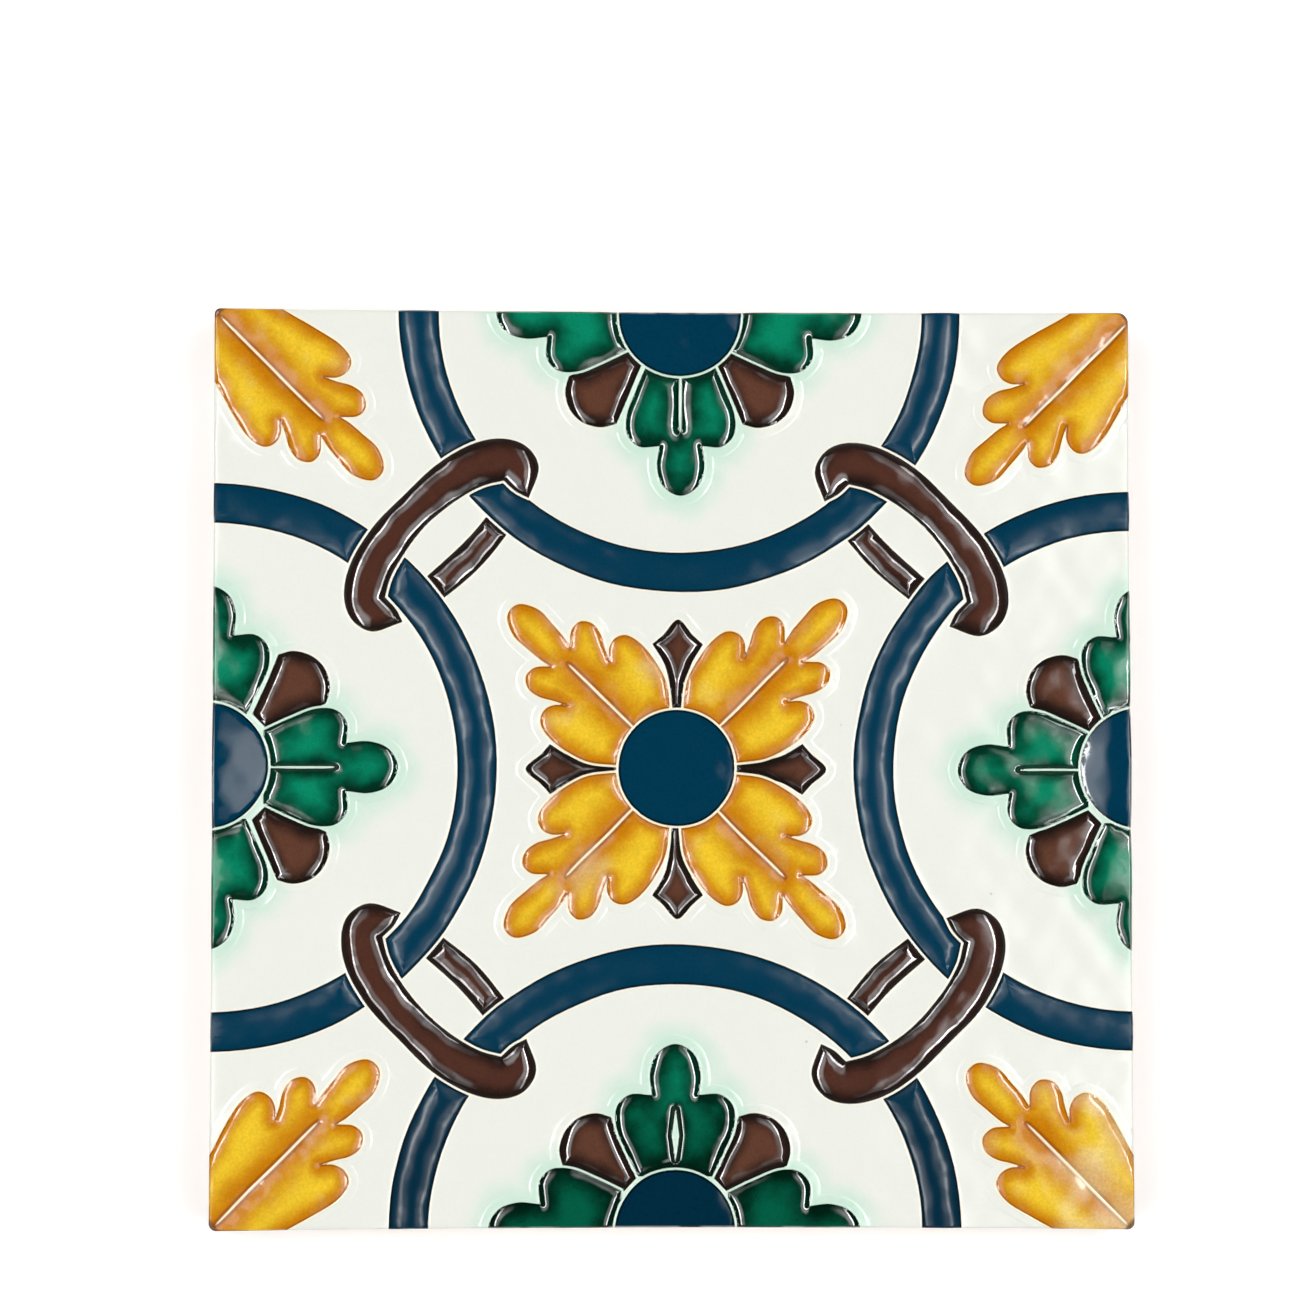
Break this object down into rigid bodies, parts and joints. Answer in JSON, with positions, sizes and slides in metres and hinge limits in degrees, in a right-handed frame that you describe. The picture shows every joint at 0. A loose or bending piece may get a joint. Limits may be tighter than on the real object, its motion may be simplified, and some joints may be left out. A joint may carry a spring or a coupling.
{
  "type": "glazed relief tile",
  "caption": "Square glazed wall tile with a pressed relief of rings clasped by chain links, leafy rosettes and buds that carries on over its neighbours.",
  "frame": {"origin": "middle of the plain back, which lies on the floor", "axes": "+Z out of the glazed face; +X to the right and +Y to the top of the face as pictured"},
  "size_m": [0.14, 0.14, 0.0121],
  "materials": {
    "glaze": "glossy coloured glazes over a pressed earthenware body"
  },
  "bodies": {
    "root": {"tile": "glaze"}
  },
  "joints": []
}
